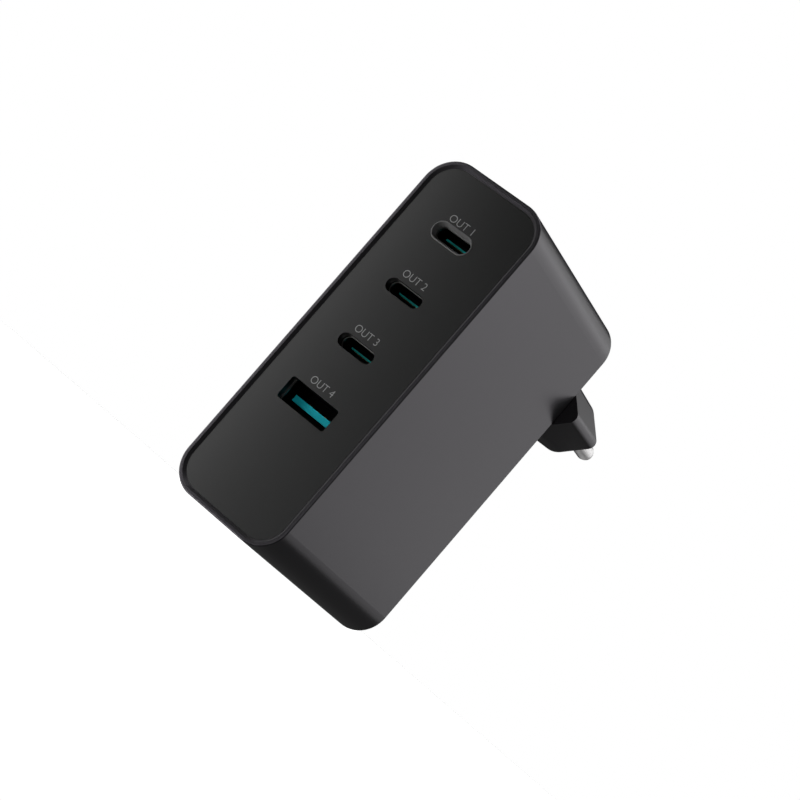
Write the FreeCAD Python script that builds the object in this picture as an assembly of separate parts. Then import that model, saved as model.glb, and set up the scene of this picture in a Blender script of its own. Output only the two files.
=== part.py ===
import FreeCAD, Part
import math
import os

from FreeCAD import Vector

# Multi-port wall charger with a fixed two-pin mains plug, in millimetres.
# It stands on its lower end. The ports face -Y, the pins point to +Y and +Z is up.
# The origin is the centre of the flat lower end.

# Housing
body_width = 29.5
body_height = 85.0
body_depth = 56.4
corner_radius = 7.0
wall = 2.0
rear_wall = 2.2
rear_edge_chamfer = 0.3

# Beaded rim and the panel set back inside it
rim_width = 1.4
rim_outer_radius = 0.3
panel_recess = 0.6
panel_thickness = 1.8
panel_gap = 0.04

# Column of ports, from the top down: the type C ports and then the type A port
port_column_x = -1.0
top_port_drop = 13.97
port_pitch = 14.26
type_c_count = 3
type_c_opening_width = 9.3
type_c_opening_height = 3.1
type_a_opening_width = 13.2
type_a_opening_height = 5.2
type_a_opening_radius = 0.6

# Lip ring round the top port, with a funnel that leads the plug in
ring_width = 10.0
ring_height = 4.4
ring_proud = 0.12
ring_lip = 0.2
ring_lip_chamfer = 0.08
funnel_inset = 0.5
funnel_depth = 1.3

# Receptacles, mounted upright on the port board
mouth_gap = 0.05
receptacle_height = 10.6
shell_wall = 0.2
type_c_shell_width = 8.94
type_c_shell_height = 3.26
type_c_tongue_width = 6.7
type_c_tongue_thickness = 0.36
type_c_tongue_setback = 2.6
type_c_base_height = 4.2
type_c_contacts_per_side = 12
type_c_contact_pitch = 0.5
type_c_contact_width = 0.26
type_c_contact_thickness = 0.06
type_c_contact_setback = 0.5
type_a_shell_width = 13.2
type_a_shell_height = 5.8
type_a_shell_radius = 0.7
type_a_tongue_width = 11.1
type_a_tongue_thickness = 1.4
type_a_tongue_drop = 0.5
type_a_tongue_setback = 2.0
type_a_base_height = 2.4
type_a_contact_count = 4
type_a_contact_pitch = 2.2
type_a_contact_width = 1.0
type_a_contact_thickness = 0.25
type_a_contact_rise = 0.35
type_a_contact_setback = 3.0
insulator_clearance = 0.05
shell_leg_width = 1.2
shell_leg_tail = 0.5
leg_clearance = 0.1

# Boards
board_thickness = 1.6
board_clearance = 0.3
board_end_gap = 1.2
main_board_offset = 2.95
rail_thickness = 1.1
rail_depth = 2.4
rail_clearance = 0.1

# Two-pin plug block: a prism with pointed sides, cut by a sloped top and underside
plug_drop = 20.0
plug_depth = 16.2
plug_tip = 19.1
plug_side_slope = 43.0
plug_root_half_height = 7.5
plug_face_half_height = 6.75
plug_tip_radius = 1.8
plug_shoulder_radius = 4.5
plug_face_chamfer = 0.4
spigot_margin = 1.0
spigot_height = 8.4
spigot_radius = 1.5
spigot_reach = 1.5
spigot_clearance = 0.1
hook_length = 8.0
hook_height = 0.8

# Mains pins, with an insulating sleeve on the first half of each
pin_spacing = 18.5
pin_radius = 2.0
pin_length = 19.3
pin_dome_steps = 3
pin_core_radius = 1.5
pin_sleeve_length = 10.0
pin_sleeve_radius = 1.8
pin_sleeve_root = 2.0
pin_tail = 2.5
lead_thickness = 0.5
lead_width = 4.0
lead_run = 6.0
lead_gap = 2.3

# Heat spreaders, pads and insulation along the two side walls
spreader_thickness = 1.0
left_spreader_thickness = 0.8
spreader_margin = 2.0
spreader_lip = 3.0
spreader_corner_chamfer = 2.0
sheet_thickness = 0.3
pad_thickness = 1.2

# Parts on the main board, from the plug end downwards
part_seat_gap = 0.1
part_row_gap = 1.0
port_board_part_space = 6.6
film_capacitor_width = 12.0
film_capacitor_height = 12.0
film_capacitor_edge_chamfer = 0.8
fuse_size = (7.0, 8.5, 4.0)
fuse_edge_chamfer = 0.5
disc_capacitor_radius = 3.6
disc_capacitor_thickness = 3.0
choke_core_size = (5.5, 11.6, 12.4)
choke_core_leg = 2.6
choke_winding_thickness = 0.8
choke_winding_margin = 0.5
choke_stand = 0.4
bulk_capacitor_layers = 2
bulk_capacitor_rows = 2
bulk_capacitor_end_gap = 1.1
bulk_capacitor_gap = 0.3
core_length = 21.4
core_width = 12.0
core_plate = 3.2
core_leg = 3.0
core_post = 7.0
bobbin_clearance = 0.15
bobbin_wall = 0.8
winding_margin = 0.4
winding_corner_chamfer = 1.5
output_capacitor_radius = 3.8
output_capacitor_length = 12.0
output_capacitor_count = 2

# Flat packages on the back of the main board: (along Y, along Z)
chip_height = 0.9
bridge_size = (8.5, 6.5)
power_switch_size = (8.0, 8.0)
rectifier_switch_size = (5.0, 6.0)
rectifier_switch_count = 2
controller_size = (6.0, 5.0)

# Parts on the back of the port board
inductor_length = 7.0
inductor_height = 4.5
inductor_edge_chamfer = 0.6
port_capacitor_width = 4.3
port_capacitor_length = 7.3
port_capacitor_height = 2.8
port_capacitor_edge_chamfer = 0.4
port_controller_size = 5.0
port_part_gap = 1.0
header_pin = 0.64
header_pitch = 2.54
header_block = 2.4
header_tail = 3.0

# Smallest distance that counts when edges are compared
slack = 1e-4

# Places worked out from the sizes above
front_y = -body_depth / 2
rear_y = body_depth / 2
centre_z = body_height / 2
panel_front_y = front_y + panel_recess
panel_back_y = panel_front_y + panel_thickness
inner_half_width = body_width / 2 - wall
inner_bottom_z = wall
inner_top_z = body_height - wall
inner_radius = corner_radius - wall
rear_inner_y = rear_y - rear_wall
mouth_y = panel_back_y + mouth_gap
port_board_y = mouth_y + receptacle_height
port_board_back_y = port_board_y + board_thickness
plug_face_y = rear_y + plug_depth
pin_tip_y = plug_face_y + pin_length
sleeve_end_y = plug_face_y + pin_sleeve_length
pin_inner_y = rear_inner_y - spigot_reach - pin_tail
lead_y = pin_inner_y - lead_thickness
board_back_x = -inner_half_width + main_board_offset
board_face_x = board_back_x + board_thickness
board_bottom_z = inner_bottom_z + board_end_gap
board_top_z = inner_top_z - board_end_gap
board_rear_y = lead_y
spreader_face_x = inner_half_width - spreader_thickness
sheet_face_x = spreader_face_x - sheet_thickness
part_front_y = port_board_back_y + port_board_part_space
part_middle_y = (part_front_y + board_rear_y) / 2
top_port_z = body_height - top_port_drop
type_c_z = [top_port_z - port_pitch * index for index in range(type_c_count)]
type_a_z = top_port_z - port_pitch * type_c_count
plug_centre_z = body_height - plug_drop


def box(x_range, y_range, z_range):
    """A block between two values on each axis."""
    size = (x_range[1] - x_range[0], y_range[1] - y_range[0], z_range[1] - z_range[0])
    return Part.makeBox(*size, Vector(x_range[0], y_range[0], z_range[0]))


def rounded_outline(width, height, radius, y, centre_x=0.0, centre_z=0.0):
    """A rounded rectangle, or a stadium where the radius is half the height, across Y."""
    left, right = centre_x - width / 2, centre_x + width / 2
    low, high = centre_z - height / 2, centre_z + height / 2
    cut = radius * (1 - math.sqrt(0.5))
    corners = [
        ((right - radius, low), (right - cut, low + cut), (right, low + radius)),
        ((right, high - radius), (right - cut, high - cut), (right - radius, high)),
        ((left + radius, high), (left + cut, high - cut), (left, high - radius)),
        ((left, low + radius), (left + cut, low + cut), (left + radius, low)),
    ]
    return arc_chain(corners, y)


def arc_chain(corners, y):
    """A closed wire across Y of arcs, each given by start, middle and end, joined by lines."""
    edges = []
    last = Vector(corners[-1][2][0], y, corners[-1][2][1])
    for corner in corners:
        start, middle, end = [Vector(x, y, z) for x, z in corner]
        if start.distanceToPoint(last) > slack:
            edges.append(Part.LineSegment(last, start).toShape())
        edges.append(Part.Arc(start, middle, end).toShape())
        last = end
    return Part.Wire(edges)


def prism(outline, length):
    """The outline's face carried along Y."""
    return Part.Face(outline).extrude(Vector(0, length, 0))


def polygon_face(points):
    return Part.Face(Part.makePolygon(points + points[:1]))


def rounded_block(width, height, radius, y_range, centre_x=0.0, centre_z=0.0):
    outline = rounded_outline(width, height, radius, y_range[0], centre_x, centre_z)
    return prism(outline, y_range[1] - y_range[0])


def stadium_outline(width, height, y, centre_x, centre_z):
    return rounded_outline(width, height, height / 2, y, centre_x, centre_z)


def stadium_block(width, height, y_range, centre_x, centre_z):
    outline = stadium_outline(width, height, y_range[0], centre_x, centre_z)
    return prism(outline, y_range[1] - y_range[0])


def edges_at(shape, y, half_width, low_z, high_z):
    """The edges that lie on a plane across Y, inside the given half width and heights."""
    found = []
    for edge in shape.Edges:
        extent = edge.BoundBox
        on_plane = abs(extent.YMin - y) < slack and abs(extent.YMax - y) < slack
        in_width = extent.XMin > -half_width - slack and extent.XMax < half_width + slack
        in_height = extent.ZMin > low_z - slack and extent.ZMax < high_z + slack
        if on_plane and in_width and in_height:
            found.append(edge)
    return found


def edges_along_x(block):
    """The edges of a block that run its whole length along X."""
    return [edge for edge in block.Edges if edge.BoundBox.XLength > block.BoundBox.XLength / 2]


# Housing shell


def rail(low_x, z_range):
    """One guide rib that runs from the port board to the rear wall."""
    return box((low_x, low_x + rail_thickness), (port_board_back_y, rear_inner_y), z_range)


def guide_rails():
    """Ribs at both ends of the housing that hold the main board and stop the port board."""
    top = (inner_top_z - rail_depth, inner_top_z)
    bottom = (inner_bottom_z, inner_bottom_z + rail_depth)
    behind_board = board_back_x - rail_clearance - rail_thickness
    before_board = board_face_x + rail_clearance
    far_side = -behind_board - rail_thickness
    return [rail(low_x, ends) for low_x in (behind_board, before_board, far_side) for ends in (top, bottom)]


def spigot_width():
    return pin_spacing + 2 * (pin_radius + spigot_margin)


def housing_shell():
    outside = rounded_block(body_width, body_height, corner_radius, (front_y, rear_y), 0.0, centre_z)
    rails = [one.common(outside) for one in guide_rails()]
    front_edges = edges_at(outside, front_y, body_width, 0.0, body_height)
    shell = outside.makeFillet(rim_outer_radius, front_edges)
    rear_edges = edges_at(shell, rear_y, body_width, 0.0, body_height)
    shell = shell.makeChamfer(rear_edge_chamfer, rear_edges)
    pocket_width = body_width - 2 * rim_width
    pocket_height = body_height - 2 * rim_width
    pocket = rounded_block(pocket_width, pocket_height, corner_radius - rim_width,
                           (front_y, panel_back_y), 0.0, centre_z)
    shell = shell.cut(pocket)
    rim_edges = edges_at(shell, front_y, pocket_width / 2, rim_width, body_height - rim_width)
    shell = shell.makeChamfer(panel_recess, rim_edges)
    cavity = rounded_block(2 * inner_half_width, inner_top_z - inner_bottom_z, inner_radius,
                           (panel_back_y, rear_inner_y), 0.0, centre_z)
    shell = shell.cut(cavity)
    window = rounded_block(spigot_width() + 2 * spigot_clearance, spigot_height + 2 * spigot_clearance,
                           spigot_radius + spigot_clearance, (rear_inner_y, rear_y), 0.0, plug_centre_z)
    shell = shell.cut(window)
    for one in rails:
        shell = shell.fuse(one)
    return shell.removeSplitter()


# Front panel and the lip ring


def front_panel():
    inset = rim_width + panel_gap
    through = (panel_front_y, panel_back_y)
    panel = rounded_block(body_width - 2 * inset, body_height - 2 * inset, corner_radius - inset,
                          through, 0.0, centre_z)
    for z in type_c_z:
        width, height = type_c_opening_width, type_c_opening_height
        if z == top_port_z:
            width, height = ring_width, ring_height
        panel = panel.cut(stadium_block(width, height, through, port_column_x, z))
    return panel.cut(rounded_block(type_a_opening_width, type_a_opening_height, type_a_opening_radius,
                                   through, port_column_x, type_a_z))


def port_ring():
    ring_front_y = panel_front_y - ring_proud
    ring = stadium_block(ring_width, ring_height, (ring_front_y, panel_back_y), port_column_x, top_port_z)
    ring = ring.makeChamfer(ring_lip_chamfer, edges_at(ring, ring_front_y, body_width, 0.0, body_height))
    mouth_width, mouth_height = ring_width - 2 * ring_lip, ring_height - 2 * ring_lip
    throat_width, throat_height = mouth_width - 2 * funnel_inset, mouth_height - 2 * funnel_inset
    throat_y = ring_front_y + funnel_depth
    mouth = stadium_outline(mouth_width, mouth_height, ring_front_y, port_column_x, top_port_z)
    throat = stadium_outline(throat_width, throat_height, throat_y, port_column_x, top_port_z)
    funnel = Part.makeLoft([mouth, throat], True, True)
    bore = stadium_block(throat_width, throat_height, (throat_y, panel_back_y), port_column_x, top_port_z)
    return ring.cut(funnel).cut(bore)


# Receptacles


def leg(side, half_width, z, clearance=0.0):
    """One solder leg at the end of a receptacle's shell, or the slot that it goes through."""
    outer_x = port_column_x + side * (half_width + clearance)
    inner_x = port_column_x + side * (half_width - shell_wall - clearance)
    half_leg = shell_leg_width / 2 + clearance
    tail_y = port_board_back_y + shell_leg_tail
    return box(sorted((outer_x, inner_x)), (port_board_y, tail_y), (z - half_leg, z + half_leg))


def shell_tube(width, height, radius, z):
    """A receptacle's drawn metal shell, with a solder leg at each end."""
    span = (mouth_y, port_board_y)
    tube = rounded_block(width, height, radius, span, port_column_x, z)
    hollow = rounded_block(width - 2 * shell_wall, height - 2 * shell_wall, radius - shell_wall,
                           span, port_column_x, z)
    tube = tube.cut(hollow)
    for side in (-1, 1):
        tube = tube.fuse(leg(side, width / 2, z))
    return tube.removeSplitter()


def type_c_shell(z):
    return shell_tube(type_c_shell_width, type_c_shell_height, type_c_shell_height / 2, z)


def type_a_shell():
    return shell_tube(type_a_shell_width, type_a_shell_height, type_a_shell_radius, type_a_z)


def type_c_tongue(z):
    """Insulator that fills the back of the shell, with a thin tongue towards the mouth."""
    gap = 2 * (shell_wall + insulator_clearance)
    base_y = port_board_y - type_c_base_height
    base = stadium_block(type_c_shell_width - gap, type_c_shell_height - gap, (base_y, port_board_y),
                         port_column_x, z)
    half_width, half_thickness = type_c_tongue_width / 2, type_c_tongue_thickness / 2
    blade = box((port_column_x - half_width, port_column_x + half_width),
                (mouth_y + type_c_tongue_setback, base_y), (z - half_thickness, z + half_thickness))
    return base.fuse(blade).removeSplitter()


def type_c_contacts(z):
    """Contact strips on both faces of the tongue."""
    strips = []
    front = mouth_y + type_c_tongue_setback + type_c_contact_setback
    back = port_board_y - type_c_base_height
    first_x = port_column_x - type_c_contact_pitch * (type_c_contacts_per_side - 1) / 2
    inner = type_c_tongue_thickness / 2
    outer = inner + type_c_contact_thickness
    for index in range(type_c_contacts_per_side):
        middle = first_x + index * type_c_contact_pitch
        across = (middle - type_c_contact_width / 2, middle + type_c_contact_width / 2)
        strips.append(box(across, (front, back), (z + inner, z + outer)))
        strips.append(box(across, (front, back), (z - outer, z - inner)))
    return Part.makeCompound(strips)


def type_a_tongue_range():
    middle = type_a_z - type_a_tongue_drop
    return (middle - type_a_tongue_thickness / 2, middle + type_a_tongue_thickness / 2)


def type_a_tongue():
    gap = 2 * (shell_wall + insulator_clearance)
    base_y = port_board_y - type_a_base_height
    base = rounded_block(type_a_shell_width - gap, type_a_shell_height - gap,
                         type_a_shell_radius - gap / 2, (base_y, port_board_y), port_column_x, type_a_z)
    half_width = type_a_tongue_width / 2
    blade = box((port_column_x - half_width, port_column_x + half_width),
                (mouth_y + type_a_tongue_setback, base_y), type_a_tongue_range())
    return base.fuse(blade).removeSplitter()


def type_a_contacts():
    """Sprung leaves that rise from the tongue's upper face and dip again at its front."""
    seat = type_a_tongue_range()[1]
    back = port_board_y - type_a_base_height
    front = mouth_y + type_a_tongue_setback + type_a_contact_setback
    crown = front + (back - front) / 4
    lower = [(back, seat), (crown, seat + type_a_contact_rise), (front, seat)]
    upper = [(y, z + type_a_contact_thickness) for y, z in reversed(lower)]
    first_x = port_column_x - type_a_contact_pitch * (type_a_contact_count - 1) / 2
    leaves = []
    for index in range(type_a_contact_count):
        low_x = first_x + index * type_a_contact_pitch - type_a_contact_width / 2
        leaf = polygon_face([Vector(low_x, y, z) for y, z in lower + upper])
        leaves.append(leaf.extrude(Vector(type_a_contact_width, 0, 0)))
    return Part.makeCompound(leaves)


# Boards


def main_board():
    return box((board_back_x, board_face_x), (port_board_back_y, board_rear_y), (board_bottom_z, board_top_z))


def port_board():
    """Board behind the ports, with slots for the shells' legs."""
    width = 2 * (inner_half_width - board_clearance)
    height = inner_top_z - inner_bottom_z - 2 * board_clearance
    board = rounded_block(width, height, inner_radius - board_clearance, (port_board_y, port_board_back_y),
                          0.0, centre_z)
    for z in type_c_z:
        for side in (-1, 1):
            board = board.cut(leg(side, type_c_shell_width / 2, z, leg_clearance))
    for side in (-1, 1):
        board = board.cut(leg(side, type_a_shell_width / 2, type_a_z, leg_clearance))
    return board


def board_header():
    """Right-angle pin row that joins the two boards at their corner, between the rail and the type A port."""
    high_z = type_a_z - shell_leg_width
    header_count = math.floor((high_z - inner_bottom_z - rail_depth) / header_pitch)
    span = header_pitch * header_count
    low_z = high_z - span
    block = box((board_face_x, board_face_x + header_block),
                (port_board_back_y, port_board_back_y + header_block), (low_z, low_z + span))
    middle_x = board_face_x + header_block / 2
    for index in range(header_count):
        z = low_z + header_pitch * (index + 0.5)
        tail = box((middle_x - header_pin / 2, middle_x + header_pin / 2),
                   (port_board_back_y + header_block, port_board_back_y + header_block + header_tail),
                   (z - header_pin / 2, z + header_pin / 2))
        block = block.fuse(tail)
    return block.removeSplitter()


# Plug block, pins and leads


def plug_form():
    """The block's outer form, with rounded tips and shoulders and an eased face."""
    peak = plug_tip * math.tan(math.radians(plug_side_slope))
    diamond = polygon_face([Vector(x, rear_y, plug_centre_z + z)
                            for x, z in ((plug_tip, 0), (0, peak), (-plug_tip, 0), (0, -peak))])
    root, face = plug_root_half_height, plug_face_half_height
    profile = [(rear_y, -root), (rear_y, root), (plug_face_y, face), (plug_face_y, -face)]
    taper = polygon_face([Vector(-plug_tip, y, plug_centre_z + z) for y, z in profile])
    form = diamond.extrude(Vector(0, plug_depth, 0)).common(taper.extrude(Vector(2 * plug_tip, 0, 0)))
    ridges = [edge for edge in form.Edges if edge.BoundBox.YLength > plug_depth / 2]
    tips = [edge for edge in ridges if abs(edge.BoundBox.Center.z - plug_centre_z) < slack]
    form = form.makeFillet(plug_tip_radius, tips)
    ridges = [edge for edge in form.Edges if edge.BoundBox.YLength > plug_depth / 2]
    shoulders = [edge for edge in ridges if abs(edge.BoundBox.Center.z - plug_centre_z) > face / 2]
    form = form.makeFillet(plug_shoulder_radius, shoulders)
    return form.makeChamfer(plug_face_chamfer, edges_at(form, plug_face_y, plug_tip, 0.0, body_height))


def plug_block():
    block = plug_form()
    inner_end_y = rear_inner_y - spigot_reach
    spigot = rounded_block(spigot_width(), spigot_height, spigot_radius, (inner_end_y, rear_y),
                           0.0, plug_centre_z)
    block = block.fuse(spigot)
    half = spigot_height / 2
    for low, high in ((half, half + hook_height), (-half - hook_height, -half)):
        hook = box((-hook_length / 2, hook_length / 2), (inner_end_y, rear_inner_y),
                   (plug_centre_z + low, plug_centre_z + high))
        block = block.fuse(hook)
    for side in (-1, 1):
        block = block.cut(mains_pin(side)).cut(pin_sleeve(side))
    return block.removeSplitter()


def pin_cylinder(side, radius, y_range):
    """A cylinder on the axis of one pin."""
    start = Vector(side * pin_spacing / 2, y_range[0], plug_centre_z)
    return Part.makeCylinder(radius, y_range[1] - y_range[0], start, Vector(0, 1, 0))


def mains_pin(side):
    """Round pin with a domed tip and a thinner neck from its sleeve to its inner end."""
    dome_y = pin_tip_y - pin_radius
    pin = pin_cylinder(side, pin_core_radius, (pin_inner_y, sleeve_end_y))
    pin = pin.fuse(pin_cylinder(side, pin_radius, (sleeve_end_y, dome_y)))
    turns = [math.radians(90 * step / pin_dome_steps) for step in range(pin_dome_steps + 1)]
    for low, high in zip(turns, turns[1:]):
        start = Vector(side * pin_spacing / 2, dome_y + pin_radius * math.sin(low), plug_centre_z)
        height = pin_radius * (math.sin(high) - math.sin(low))
        top_radius = 0 if high == turns[-1] else pin_radius * math.cos(high)
        pin = pin.fuse(Part.makeCone(pin_radius * math.cos(low), top_radius, height, start, Vector(0, 1, 0)))
    return pin.removeSplitter()


def pin_sleeve(side):
    span = (plug_face_y - pin_sleeve_root, sleeve_end_y)
    return pin_cylinder(side, pin_sleeve_radius, span).cut(pin_cylinder(side, pin_core_radius, span))


def lead_foot(low_z):
    """The strap's end that lies on the main board."""
    return box((board_face_x, board_face_x + lead_thickness), (lead_y - lead_run, lead_y),
               (low_z, low_z + lead_width))


def pin_lead_left():
    low_z = plug_centre_z - lead_width / 2
    plate = box((-pin_spacing / 2 - lead_width / 2, board_face_x + lead_thickness), (lead_y, pin_inner_y),
                (low_z, low_z + lead_width))
    return plate.fuse(lead_foot(low_z)).removeSplitter()


def pin_lead_right():
    low_z = plug_centre_z - lead_width / 2
    high_z = low_z + lead_width + lead_gap
    inner_x = pin_spacing / 2 - lead_width / 2
    riser = box((inner_x, inner_x + lead_width), (lead_y, pin_inner_y), (low_z, high_z + lead_width))
    bridge = box((board_face_x, inner_x), (lead_y, pin_inner_y), (high_z, high_z + lead_width))
    return riser.fuse(bridge).fuse(lead_foot(high_z)).removeSplitter()


# Heat spreaders, pads and insulation

spreader_low_z = corner_radius + spreader_margin
spreader_high_z = body_height - corner_radius - spreader_margin
spreader_front_y = port_board_back_y + spreader_margin
spreader_rear_y = lead_y - spreader_margin


def spreader_plate(x_range):
    """Plate across X with its corners cut."""
    plate = box(x_range, (spreader_front_y, spreader_rear_y), (spreader_low_z, spreader_high_z))
    return plate.makeChamfer(spreader_corner_chamfer, edges_along_x(plate))


def heat_spreader_right():
    plate = spreader_plate((spreader_face_x, inner_half_width))
    lip = box((spreader_face_x - spreader_lip, spreader_face_x),
              (part_front_y, spreader_rear_y - spreader_corner_chamfer),
              (spreader_low_z, spreader_low_z + spreader_thickness))
    return plate.fuse(lip).removeSplitter()


def heat_spreader_left():
    return spreader_plate((-inner_half_width, left_spreader_thickness - inner_half_width))


def insulation_sheet():
    """Thin sheet on the right spreader, above its folded lip."""
    return box((sheet_face_x, spreader_face_x),
               (spreader_front_y + spreader_corner_chamfer, spreader_rear_y - spreader_corner_chamfer),
               (spreader_low_z + spreader_thickness, spreader_high_z - spreader_corner_chamfer))


# Main board parts, stacked along Z with even gaps

bulk_capacitor_space = sheet_face_x - board_face_x - (bulk_capacitor_layers + 1) * part_seat_gap
bulk_capacitor_radius = bulk_capacitor_space / (2 * bulk_capacitor_layers)
bulk_row_pitch = 2 * bulk_capacitor_radius + bulk_capacitor_gap
bulk_bank_height = bulk_capacitor_rows * bulk_row_pitch - bulk_capacitor_gap
choke_core_thickness, choke_core_depth, choke_core_height = choke_core_size
stack_heights = [2 * output_capacitor_radius, core_length, bulk_bank_height, choke_core_height]
stack_low_z = board_bottom_z + rail_depth
stack_high_z = board_top_z - rail_depth - fuse_size[2]
stack_gap = (stack_high_z - stack_low_z - sum(stack_heights)) / len(stack_heights)


def stack_start(place):
    return stack_low_z + sum(stack_heights[:place]) + place * stack_gap


output_low_z, core_low_z, bulk_low_z, choke_low_z = map(stack_start, range(len(stack_heights)))
core_high_z = core_low_z + core_length
core_middle_z = core_low_z + core_length / 2
choke_middle_z = choke_low_z + choke_core_height / 2
core_top_x = sheet_face_x - pad_thickness
core_base_x = board_face_x + part_seat_gap
core_join_x = (core_base_x + core_top_x) / 2


def bulk_capacitor(layer, row):
    radius = bulk_capacitor_radius
    x = board_face_x + part_seat_gap + radius + layer * (2 * radius + part_seat_gap)
    z = bulk_low_z + radius + row * bulk_row_pitch
    start_y = part_front_y + bulk_capacitor_end_gap
    length = board_rear_y - bulk_capacitor_end_gap - start_y
    return Part.makeCylinder(radius, length, Vector(x, start_y, z), Vector(0, 1, 0))


def output_capacitor(index):
    step = (board_rear_y - part_front_y) / output_capacitor_count
    foot = Vector(board_face_x, part_front_y + step * (index + 0.5), output_low_z + output_capacitor_radius)
    return Part.makeCylinder(output_capacitor_radius, output_capacitor_length, foot, Vector(1, 0, 0))


def core_half(plate_x, join_x):
    """One half of the ferrite core: an E-shaped profile carried along Y."""
    inner_x = plate_x + core_plate if join_x > plate_x else plate_x - core_plate
    half_post = core_post / 2
    profile = [(plate_x, core_low_z), (join_x, core_low_z), (join_x, core_low_z + core_leg),
               (inner_x, core_low_z + core_leg), (inner_x, core_middle_z - half_post),
               (join_x, core_middle_z - half_post), (join_x, core_middle_z + half_post),
               (inner_x, core_middle_z + half_post), (inner_x, core_high_z - core_leg),
               (join_x, core_high_z - core_leg), (join_x, core_high_z), (plate_x, core_high_z)]
    start_y = part_middle_y - core_width / 2
    return polygon_face([Vector(x, start_y, z) for x, z in profile]).extrude(Vector(0, core_width, 0))


def round_post(x_range, reach):
    """A block round the core's centre post that stands out from it by a reach."""
    half_width = core_width / 2 + reach
    half_post = core_post / 2 + reach
    return box(x_range, (part_middle_y - half_width, part_middle_y + half_width),
               (core_middle_z - half_post, core_middle_z + half_post))


bobbin_span = (core_base_x + core_plate + bobbin_clearance, core_top_x - core_plate - bobbin_clearance)
winding_span = (bobbin_span[0] + bobbin_wall, bobbin_span[1] - bobbin_wall)
bobbin_flange_reach = (core_length - core_post) / 2 - core_leg - bobbin_clearance
winding_reach = bobbin_flange_reach - winding_margin


def transformer_bobbin():
    """Spool on the centre post: a sleeve with a flange at each end."""
    spool = round_post(bobbin_span, bobbin_clearance + bobbin_wall)
    for flange_x in ((bobbin_span[0], winding_span[0]), (winding_span[1], bobbin_span[1])):
        spool = spool.fuse(round_post(flange_x, bobbin_flange_reach))
    return spool.cut(round_post(bobbin_span, bobbin_clearance)).removeSplitter()


def transformer_winding():
    coil = round_post(winding_span, winding_reach)
    coil = coil.makeChamfer(winding_corner_chamfer, edges_along_x(coil))
    return coil.cut(round_post(winding_span, bobbin_clearance + bobbin_wall))


choke_low_x = board_face_x + lead_thickness + choke_stand
choke_core_x = (choke_low_x + choke_winding_thickness,
                choke_low_x + choke_winding_thickness + choke_core_thickness)
choke_rear_y = board_rear_y - lead_run / 2 - choke_winding_thickness
choke_front_y = choke_rear_y - choke_core_depth
choke_high_z = choke_low_z + choke_core_height


def choke_core():
    """Closed rectangular ring that stands on edge."""
    ring = box(choke_core_x, (choke_front_y, choke_rear_y), (choke_low_z, choke_high_z))
    window = box(choke_core_x, (choke_front_y + choke_core_leg, choke_rear_y - choke_core_leg),
                 (choke_low_z + choke_core_leg, choke_high_z - choke_core_leg))
    return ring.cut(window)


def choke_winding(leg_y):
    """Wire wrapped round one upright leg of the choke's core, which starts at leg_y."""
    skin = choke_winding_thickness
    inset = choke_core_leg + choke_winding_margin
    wrap = box((choke_core_x[0] - skin, choke_core_x[1] + skin),
               (leg_y - skin, leg_y + choke_core_leg + skin),
               (choke_low_z + inset, choke_high_z - inset))
    return wrap.cut(choke_core())


disc_rear_y = choke_front_y - choke_winding_thickness - part_row_gap
disc_front_y = disc_rear_y - disc_capacitor_thickness


def disc_capacitor():
    """Upright disc between the film capacitor and the choke."""
    centre = Vector(board_face_x + disc_capacitor_radius, disc_front_y, choke_middle_z)
    return Part.makeCylinder(disc_capacitor_radius, disc_capacitor_thickness, centre, Vector(0, 1, 0))


def film_capacitor():
    """Moulded case that fills the row in front of the disc."""
    depth = disc_front_y - part_row_gap - part_front_y
    half_height = film_capacitor_height / 2
    block = box((board_face_x, board_face_x + film_capacitor_width), (part_front_y, part_front_y + depth),
                (choke_middle_z - half_height, choke_middle_z + half_height))
    return block.makeChamfer(min(film_capacitor_edge_chamfer, depth / 4), edges_along_x(block))


def fuse():
    across, deep, tall = fuse_size
    block = box((board_face_x, board_face_x + across), (part_middle_y - deep / 2, part_middle_y + deep / 2),
                (stack_high_z, stack_high_z + tall))
    return block.makeChamfer(fuse_edge_chamfer, edges_along_x(block))


# Packages on the back of the main board


def chip(size, y, z):
    """A flat package against the board's back, centred on y and z."""
    deep, tall = size
    return box((board_back_x - chip_height, board_back_x), (y - deep / 2, y + deep / 2),
               (z - tall / 2, z + tall / 2))


def bridge_rectifier():
    return chip(bridge_size, part_middle_y, choke_middle_z)


def power_switch():
    return chip(power_switch_size, part_middle_y, bulk_low_z)


def rectifier_switches():
    step = rectifier_switch_size[0] + port_part_gap
    first_y = part_middle_y - step * (rectifier_switch_count - 1) / 2
    z = output_low_z + output_capacitor_radius
    places = [first_y + step * index for index in range(rectifier_switch_count)]
    return Part.makeCompound([chip(rectifier_switch_size, y, z) for y in places])


def controller_chip():
    return chip(controller_size, part_middle_y, core_middle_z)


def thermal_pad_left():
    """Soft pad that carries the power switch's heat to the left spreader."""
    deep, tall = power_switch_size
    pad_x = (left_spreader_thickness - inner_half_width, board_back_x - chip_height)
    return box(pad_x, (part_middle_y - deep / 2, part_middle_y + deep / 2),
               (bulk_low_z - tall / 2, bulk_low_z + tall / 2))


def thermal_pad_right():
    """Soft pad between the transformer and the right spreader's sheet."""
    half_width = core_width / 2
    return box((core_top_x, sheet_face_x), (part_middle_y - half_width, part_middle_y + half_width),
               (core_low_z, core_high_z))


# Parts on the back of the port board, below each port's legs

port_capacitor_x = (spreader_face_x - port_part_gap - port_capacitor_width, spreader_face_x - port_part_gap)
inductor_x = (board_face_x + header_block + port_part_gap, port_capacitor_x[0] - port_part_gap)


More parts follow.
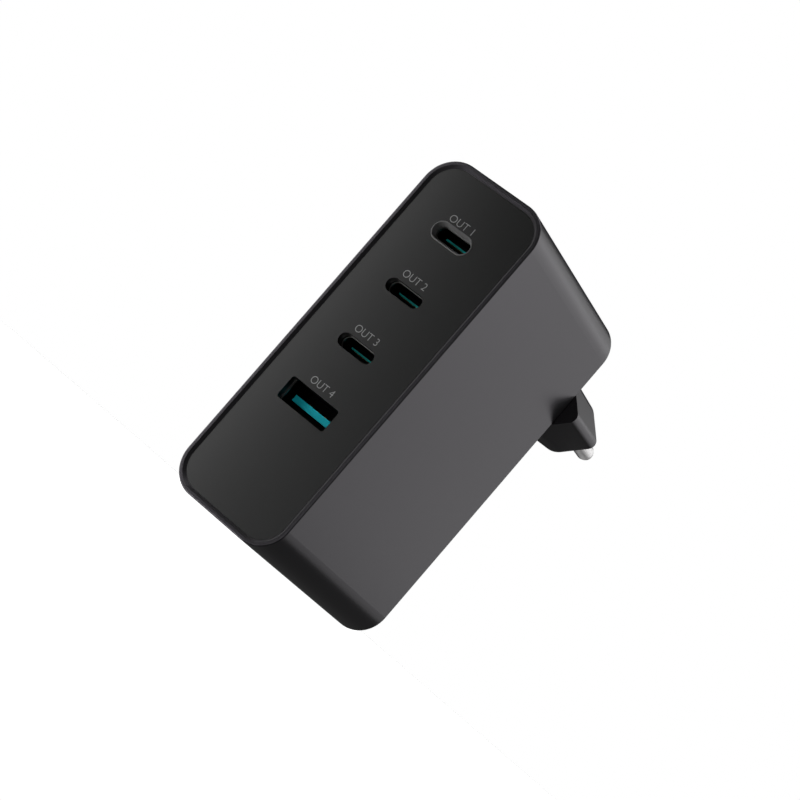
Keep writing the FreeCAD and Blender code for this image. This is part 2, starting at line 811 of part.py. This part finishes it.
def port_board_block(x_range, length, height, port_z, edge_chamfer):
    """A moulded block on the board's back, half a pitch below its port, with its upright edges cut."""
    middle = port_z - port_pitch / 2
    block = box(x_range, (port_board_back_y, port_board_back_y + height),
                (middle - length / 2, middle + length / 2))
    upright = [edge for edge in block.Edges if edge.BoundBox.YLength > height / 2]
    return block.makeChamfer(edge_chamfer, upright)


def port_inductor(port_z):
    return port_board_block(inductor_x, inductor_length, inductor_height, port_z, inductor_edge_chamfer)


def port_capacitor(port_z):
    return port_board_block(port_capacitor_x, port_capacitor_length, port_capacitor_height, port_z,
                            port_capacitor_edge_chamfer)


def port_controllers():
    """One flat controller behind each type C port, between the legs of its shell."""
    half = port_controller_size / 2
    chips = []
    for z in type_c_z:
        chips.append(box((port_column_x - half, port_column_x + half),
                         (port_board_back_y, port_board_back_y + chip_height), (z - half, z + half)))
    return Part.makeCompound(chips)


# All nodes by name

pieces = {
    "housing_shell": housing_shell(),
    "front_panel": front_panel(),
    "port_ring": port_ring(),
    "plug_block": plug_block(),
    "mains_pin_left": mains_pin(-1),
    "mains_pin_right": mains_pin(1),
    "pin_sleeve_left": pin_sleeve(-1),
    "pin_sleeve_right": pin_sleeve(1),
    "pin_lead_left": pin_lead_left(),
    "pin_lead_right": pin_lead_right(),
    "main_board": main_board(),
    "port_board": port_board(),
    "board_header": board_header(),
    "type_a_shell": type_a_shell(),
    "type_a_tongue": type_a_tongue(),
    "type_a_contacts": type_a_contacts(),
    "transformer_core_lower": core_half(core_base_x, core_join_x),
    "transformer_core_upper": core_half(core_top_x, core_join_x),
    "transformer_bobbin": transformer_bobbin(),
    "transformer_winding": transformer_winding(),
    "choke_core": choke_core(),
    "choke_winding_front": choke_winding(choke_front_y),
    "choke_winding_rear": choke_winding(choke_rear_y - choke_core_leg),
    "film_capacitor": film_capacitor(),
    "fuse": fuse(),
    "disc_capacitor": disc_capacitor(),
    "bridge_rectifier": bridge_rectifier(),
    "power_switch": power_switch(),
    "rectifier_switches": rectifier_switches(),
    "controller_chip": controller_chip(),
    "port_controllers": port_controllers(),
    "heat_spreader_left": heat_spreader_left(),
    "heat_spreader_right": heat_spreader_right(),
    "insulation_sheet": insulation_sheet(),
    "thermal_pad_left": thermal_pad_left(),
    "thermal_pad_right": thermal_pad_right(),
}
for number, port_z in enumerate(type_c_z, start=1):
    pieces[f"type_c_shell_{number}"] = type_c_shell(port_z)
    pieces[f"type_c_tongue_{number}"] = type_c_tongue(port_z)
    pieces[f"type_c_contacts_{number}"] = type_c_contacts(port_z)
    pieces[f"port_inductor_{number}"] = port_inductor(port_z)
for number, port_z in enumerate([*type_c_z, type_a_z], start=1):
    pieces[f"port_capacitor_{number}"] = port_capacitor(port_z)
for number in range(bulk_capacitor_layers * bulk_capacitor_rows):
    row, layer = divmod(number, bulk_capacitor_layers)
    pieces[f"bulk_capacitor_{number + 1}"] = bulk_capacitor(layer, row)
for number in range(output_capacitor_count):
    pieces[f"output_capacitor_{number + 1}"] = output_capacitor(number)

os.makedirs("parts", exist_ok=True)
for name, shape in pieces.items():
    shape.exportStep(f"parts/{name}.step")
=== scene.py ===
import math

import bpy
from mathutils import Matrix, Quaternion, Vector


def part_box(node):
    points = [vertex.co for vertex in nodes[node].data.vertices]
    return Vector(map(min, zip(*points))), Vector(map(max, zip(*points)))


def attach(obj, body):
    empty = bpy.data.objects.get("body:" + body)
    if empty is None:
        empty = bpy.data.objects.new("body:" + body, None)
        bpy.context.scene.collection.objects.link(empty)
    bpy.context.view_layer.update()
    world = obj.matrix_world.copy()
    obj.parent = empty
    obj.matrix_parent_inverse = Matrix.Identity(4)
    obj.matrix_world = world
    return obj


# Looks of the multi-port wall charger: materials for every node, port labels, floor, lights and camera.
# The scene is in metres, in the frame of the CAD model. Values in millimetres are multiplied by mm.

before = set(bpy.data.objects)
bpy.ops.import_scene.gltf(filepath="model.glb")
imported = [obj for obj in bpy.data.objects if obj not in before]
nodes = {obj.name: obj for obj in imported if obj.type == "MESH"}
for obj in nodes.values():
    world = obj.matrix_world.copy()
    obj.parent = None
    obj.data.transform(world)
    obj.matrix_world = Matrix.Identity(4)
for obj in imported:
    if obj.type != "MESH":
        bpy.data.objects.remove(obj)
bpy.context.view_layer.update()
scene = bpy.context.scene
mm = 0.001

# Camera, at the photograph's place, with its roll in degrees
camera_place = Vector((231.61, -420.47, 3.38)) * mm
camera_target = Vector((-0.26, -2.0, 42.28)) * mm
camera_roll = 40.85
camera_lens = 106.22
camera_sensor = 36.0
camera_near_limit = 0.01

# Floor: a pale round sheet that fades into the backdrop. Radii in metres, drop in millimetres
floor_radius = 0.6
floor_plain_radius = 0.3
floor_corners = 96
floor_shade = 0.9
floor_roughness = 0.9
floor_glow = 0.8
floor_drop = 0.02

# Lights: place, the point they are turned to, width and height in millimetres, and power in watts
lights = {
    "rear_softbox": ((228, 387, 209), (11, -5, 64), 300, 430, 0.368),
    "rear_skirt_box": ((268, 459, -45), (51, 67, -190), 300, 105, 0.048),
    "rear_top_box": ((45, 430, 310), (10, 0, 80), 210, 220, 0.083),
    "rear_low_box": ((-40, 390, -190), (5, 0, 0), 560, 350, 0.031),
    "side_light": ((380, 220, 330), (15, 0, 45), 500, 500, 0.86),
    "overhead_light": ((0, 40, 520), (0, 0, 42), 300, 300, 0.8),
    "left_strip": ((-95, -90, 42), (-5, -28, 42), 40, 130, 0.0315),
    "left_near_strip": ((-60, -75, 42), (-12, -28, 42), 25, 140, 0.0214),
    "left_below_light": ((-131, -198, -136), (0, -28, 42), 120, 120, 0.28),
    "left_rear_light": ((-270, 120, 72), (-15, 0, 42), 360, 360, 0.4),
    "front_light": ((-20, -500, -40), (0, -28, 42), 300, 300, 0.15),
    "front_right_light": ((150, -480, -60), (0, -28, 42), 200, 200, 0.19),
    "pin_card": ((10.5, 74, 56), (9, 60, 64), 10, 10, 0.0001),
}

# World: a dim fill on the part, and a white backdrop for the camera
world_shade = 0.015
backdrop_shade = 1.0

# Port labels, in millimetres. The thinning is a share of the letters' size
label_cap_height = 1.58
label_width = 6.2
label_rise_type_c = 2.57
label_rise_type_a = 3.6
label_thickness = 0.02
label_thinning = 0.012
label_shade = 0.28
label_roughness = 0.6
label_upright_turn = math.radians(90)

# Receptacles: depths in millimetres, from the frame's middle, over which painted shade makes their
# insides fall to black
tongue_painted_shade = (-23.0, -21.5)
shell_painted_shade = (-25.7, -25.2)

# Noise in every surface: detail of the relief, then detail, size in millimetres and range of the mottling
relief_detail = 3.0
mottle_detail = 4.0
mottle_size = 4.0
mottle_range = (0.35, 0.65)

# Reflections on the housing and the plug block lean towards mauve
plain_tint = (1.0, 1.0, 1.0)
mauve_tint = (1.0, 0.93, 1.06)

looks = {}


def grey(value):
    """A neutral colour."""
    return (value, value, value)


def add_grain(tree, shader, place, size, depth):
    """Fine surface relief: noise of a given grain size and depth in millimetres."""
    noise = tree.nodes.new("ShaderNodeTexNoise")
    noise.inputs["Scale"].default_value = 1 / (size * mm)
    noise.inputs["Detail"].default_value = relief_detail
    bump = tree.nodes.new("ShaderNodeBump")
    bump.inputs["Strength"].default_value = 1.0
    bump.inputs["Distance"].default_value = depth * mm
    tree.links.new(place.outputs["Object"], noise.inputs["Vector"])
    tree.links.new(noise.outputs["Fac"], bump.inputs["Height"])
    tree.links.new(bump.outputs["Normal"], shader.inputs["Normal"])


def add_mottling(tree, shader, place, colour, spread):
    """Soft mottling of a colour, lighter and darker by a small share."""
    noise = tree.nodes.new("ShaderNodeTexNoise")
    noise.inputs["Scale"].default_value = 1 / (mottle_size * mm)
    noise.inputs["Detail"].default_value = mottle_detail
    ramp = tree.nodes.new("ShaderNodeValToRGB")
    for stop, position, share in zip(ramp.color_ramp.elements, mottle_range, (1 - spread, 1 + spread)):
        stop.position = position
        stop.color = (*[value * share for value in colour], 1)
    tree.links.new(place.outputs["Object"], noise.inputs["Vector"])
    tree.links.new(noise.outputs["Fac"], ramp.inputs["Fac"])
    tree.links.new(ramp.outputs["Color"], shader.inputs["Base Color"])


def paint_shade_inward(tree, shader, place, fade):
    """Paints shade into a receptacle: its colour falls to black between two depths, from its mouth
    inwards.
    """
    bright = shader.inputs["Base Color"].links[0].from_socket
    split = tree.nodes.new("ShaderNodeSeparateXYZ")
    depth = tree.nodes.new("ShaderNodeMapRange")
    depth.inputs["From Min"].default_value = fade[0] * mm
    depth.inputs["From Max"].default_value = fade[1] * mm
    depth.inputs["To Min"].default_value = 1.0
    depth.inputs["To Max"].default_value = 0.0
    dim = tree.nodes.new("ShaderNodeVectorMath")
    dim.operation = "SCALE"
    tree.links.new(place.outputs["Object"], split.inputs["Vector"])
    tree.links.new(split.outputs["Y"], depth.inputs["Value"])
    tree.links.new(bright, dim.inputs[0])
    tree.links.new(depth.outputs["Result"], dim.inputs["Scale"])
    tree.links.new(dim.outputs["Vector"], shader.inputs["Base Color"])


def add_look(name, colour, roughness, grain=0.3, depth=0.004, spread=0.06, metallic=0.0, specular=0.5,
             tint=plain_tint, fade=None):
    """A moulded, plated or coated surface with fine relief and slight mottling, and painted shade inside
    a receptacle when a fade is given.
    """
    material = bpy.data.materials.new(name)
    material.use_nodes = True
    tree = material.node_tree
    shader = tree.nodes["Principled BSDF"]
    shader.inputs["Roughness"].default_value = roughness
    shader.inputs["Metallic"].default_value = metallic
    shader.inputs["Specular IOR Level"].default_value = specular
    shader.inputs["Specular Tint"].default_value = (*tint, 1)
    place = tree.nodes.new("ShaderNodeTexCoord")
    add_grain(tree, shader, place, grain, depth)
    add_mottling(tree, shader, place, colour, spread)
    # Painted shade: a receptacle's colour falls to black inward from its mouth
    if fade:
        paint_shade_inward(tree, shader, place, fade)
    looks[name] = material


def glow_and_fade(tree):
    """Lets the floor glow a little and turn clear towards its rim."""
    shader = tree.nodes["Principled BSDF"]
    shader.inputs["Emission Color"].default_value = (1, 1, 1, 1)
    shader.inputs["Emission Strength"].default_value = floor_glow
    place = tree.nodes.new("ShaderNodeTexCoord")
    distance = tree.nodes.new("ShaderNodeVectorMath")
    distance.operation = "LENGTH"
    fade = tree.nodes.new("ShaderNodeMapRange")
    fade.inputs["From Min"].default_value = floor_plain_radius
    fade.inputs["From Max"].default_value = floor_radius
    clear = tree.nodes.new("ShaderNodeBsdfTransparent")
    mix = tree.nodes.new("ShaderNodeMixShader")
    tree.links.new(place.outputs["Object"], distance.inputs[0])
    tree.links.new(distance.outputs["Value"], fade.inputs["Value"])
    tree.links.new(fade.outputs["Result"], mix.inputs["Fac"])
    tree.links.new(shader.outputs["BSDF"], mix.inputs[1])
    tree.links.new(clear.outputs["BSDF"], mix.inputs[2])
    tree.links.new(mix.outputs["Shader"], tree.nodes["Material Output"].inputs["Surface"])


def add_label(name, words, centre_x, baseline_z, front_y):
    """A line of thin printed letters on the panel, read from the front."""
    curve = bpy.data.curves.new(name, "FONT")
    curve.body = words
    curve.align_x = "CENTER"
    curve.offset = -label_thinning
    label = bpy.data.objects.new(name, curve)
    scene.collection.objects.link(label)
    bpy.context.view_layer.update()
    natural = label.dimensions
    across = label_width * mm / natural.x
    tall = label_cap_height * mm / natural.y
    curve.extrude = label_thickness
    label.matrix_world = (Matrix.Translation((centre_x, front_y, baseline_z))
                          @ Matrix.Rotation(label_upright_turn, 4, "X")
                          @ Matrix.Diagonal((across, tall, mm, 1)))
    label.data.materials.append(looks["label_ink"])
    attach(label, "root")


def turned_to(place, target, roll=0.0):
    """The turn that points an object's -Z from place to target, rolled about that line in degrees."""
    turn = (target - place).to_track_quat("-Z", "Y")
    return turn @ Quaternion((0, 0, 1), math.radians(roll))


def add_light(name, place, target, width, height, power):
    """A soft rectangular light that the camera doesn't see."""
    lamp = bpy.data.lights.new(name, "AREA")
    lamp.shape = "RECTANGLE"
    lamp.size = width * mm
    lamp.size_y = height * mm
    lamp.energy = power
    light = bpy.data.objects.new(name, lamp)
    light.location = Vector(place) * mm
    light.rotation_mode = "QUATERNION"
    light.rotation_quaternion = turned_to(light.location, Vector(target) * mm)
    light.visible_camera = False
    scene.collection.objects.link(light)


# Looks outside
add_look("housing_plastic", (0.031, 0.030, 0.032), 0.28, grain=0.25, depth=0.002, spread=0.02,
         tint=mauve_tint)
add_look("panel_plastic", grey(0.006), 0.38, grain=0.2, depth=0.002, spread=0.02)
add_look("ring_plastic", grey(0.155), 0.35, grain=0.2, depth=0.002)
add_look("plug_plastic", (0.026, 0.025, 0.027), 0.28, depth=0.002, spread=0.02, tint=mauve_tint)
add_look("nickel_plate", (0.85, 0.84, 0.84), 0.42, grain=0.4, depth=0.001, metallic=1.0)
add_look("sleeve_plastic", grey(0.02), 0.5)
add_look("label_ink", grey(label_shade), label_roughness, grain=0.2, depth=0.001)

# Looks of the receptacles: the type C tongues are greener than the type A tongue
# The shells and tongues get painted shade that darkens them to black inward from the mouth
add_look("shell_steel", (0.36, 0.36, 0.35), 0.3, grain=0.4, depth=0.001, metallic=1.0, fade=shell_painted_shade)
add_look("tongue_teal", (0.008, 0.56, 0.67), 0.5, depth=0.002, specular=0.1, fade=tongue_painted_shade)
add_look("tongue_green", (0.02, 0.45, 0.43), 0.5, depth=0.002, specular=0.1, fade=tongue_painted_shade)
add_look("contact_gold", (0.6, 0.42, 0.15), 0.35, metallic=1.0)

# Looks inside
add_look("lead_brass", (0.75, 0.52, 0.2), 0.35, metallic=1.0)
add_look("board_laminate", (0.01, 0.09, 0.035), 0.4, grain=0.5, spread=0.2)
add_look("header_plastic", grey(0.02), 0.5)
add_look("ferrite", grey(0.03), 0.7, grain=0.4, depth=0.02)
add_look("bobbin_plastic", grey(0.03), 0.5)
add_look("winding_tape", (0.75, 0.5, 0.04), 0.3)
add_look("copper_wire", (0.7, 0.25, 0.08), 0.35, metallic=1.0)
add_look("film_case", (0.6, 0.42, 0.05), 0.45)
add_look("fuse_case", grey(0.03), 0.45)
add_look("disc_lacquer", (0.02, 0.12, 0.4), 0.35)
add_look("chip_epoxy", grey(0.02), 0.65, grain=0.15, depth=0.006)
add_look("spreader_metal", grey(0.8), 0.4, metallic=1.0)
add_look("insulation_film", (0.5, 0.28, 0.03), 0.3)
add_look("pad_silicone", (0.35, 0.4, 0.5), 0.8)
add_look("can_metal", (0.7, 0.7, 0.72), 0.35, metallic=1.0)

# Every node gets the look of its slot
for name, node in nodes.items():
    slot = node.data.materials[0].name.split(".")[0]
    look = "tongue_green" if name.startswith("type_c_tongue") else slot
    node.data.materials[0] = looks[look]

# Port labels: plain words and numbers, printed above each port
panel_front_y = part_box("front_panel")[0].y
ports = [("type_c_shell_1", label_rise_type_c), ("type_c_shell_2", label_rise_type_c),
         ("type_c_shell_3", label_rise_type_c), ("type_a_shell", label_rise_type_a)]
for number, (shell, rise) in enumerate(ports, start=1):
    low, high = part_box(shell)
    middle = (low + high) / 2
    add_label(f"port_label_{number}", f"OUT {number}", middle.x, middle.z + rise * mm, panel_front_y)

# Floor: matt white paper
add_look("floor_paper", grey(floor_shade), floor_roughness, grain=1.0, depth=0.01, spread=0.01)
glow_and_fade(looks["floor_paper"].node_tree)
floor_mesh = bpy.data.meshes.new("floor")
turns = [2 * math.pi * step / floor_corners for step in range(floor_corners)]
rim = [(floor_radius * math.cos(turn), floor_radius * math.sin(turn), 0) for turn in turns]
floor_mesh.from_pydata(rim, [], [range(floor_corners)])
floor_mesh.materials.append(looks["floor_paper"])
floor = bpy.data.objects.new("floor", floor_mesh)
floor.location = (0, 0, -floor_drop * mm)
floor.visible_diffuse = False
floor.visible_glossy = False
floor.visible_shadow = False
scene.collection.objects.link(floor)

# Lights
for name, settings in lights.items():
    add_light(name, *settings)

# World
world = bpy.data.worlds.new("studio")
world.use_nodes = True
scene.world = world
world_nodes = world.node_tree.nodes
world_links = world.node_tree.links
fill = world_nodes["Background"]
fill.inputs["Color"].default_value = (*grey(world_shade), 1)
backdrop = world_nodes.new("ShaderNodeBackground")
backdrop.inputs["Color"].default_value = (*grey(backdrop_shade), 1)
path = world_nodes.new("ShaderNodeLightPath")
choose = world_nodes.new("ShaderNodeMixShader")
world_links.new(path.outputs["Is Camera Ray"], choose.inputs["Fac"])
world_links.new(fill.outputs["Background"], choose.inputs[1])
world_links.new(backdrop.outputs["Background"], choose.inputs[2])
world_links.new(choose.outputs["Shader"], world_nodes["World Output"].inputs["Surface"])

# Camera
camera = bpy.data.objects.new("camera", bpy.data.cameras.new("camera"))
camera.data.lens = camera_lens
camera.data.sensor_width = camera_sensor
camera.data.clip_start = camera_near_limit
camera.location = camera_place
camera.rotation_mode = "QUATERNION"
camera.rotation_quaternion = turned_to(camera_place, camera_target, camera_roll)
scene.collection.objects.link(camera)
scene.camera = camera
scene.view_settings.view_transform = "Standard"
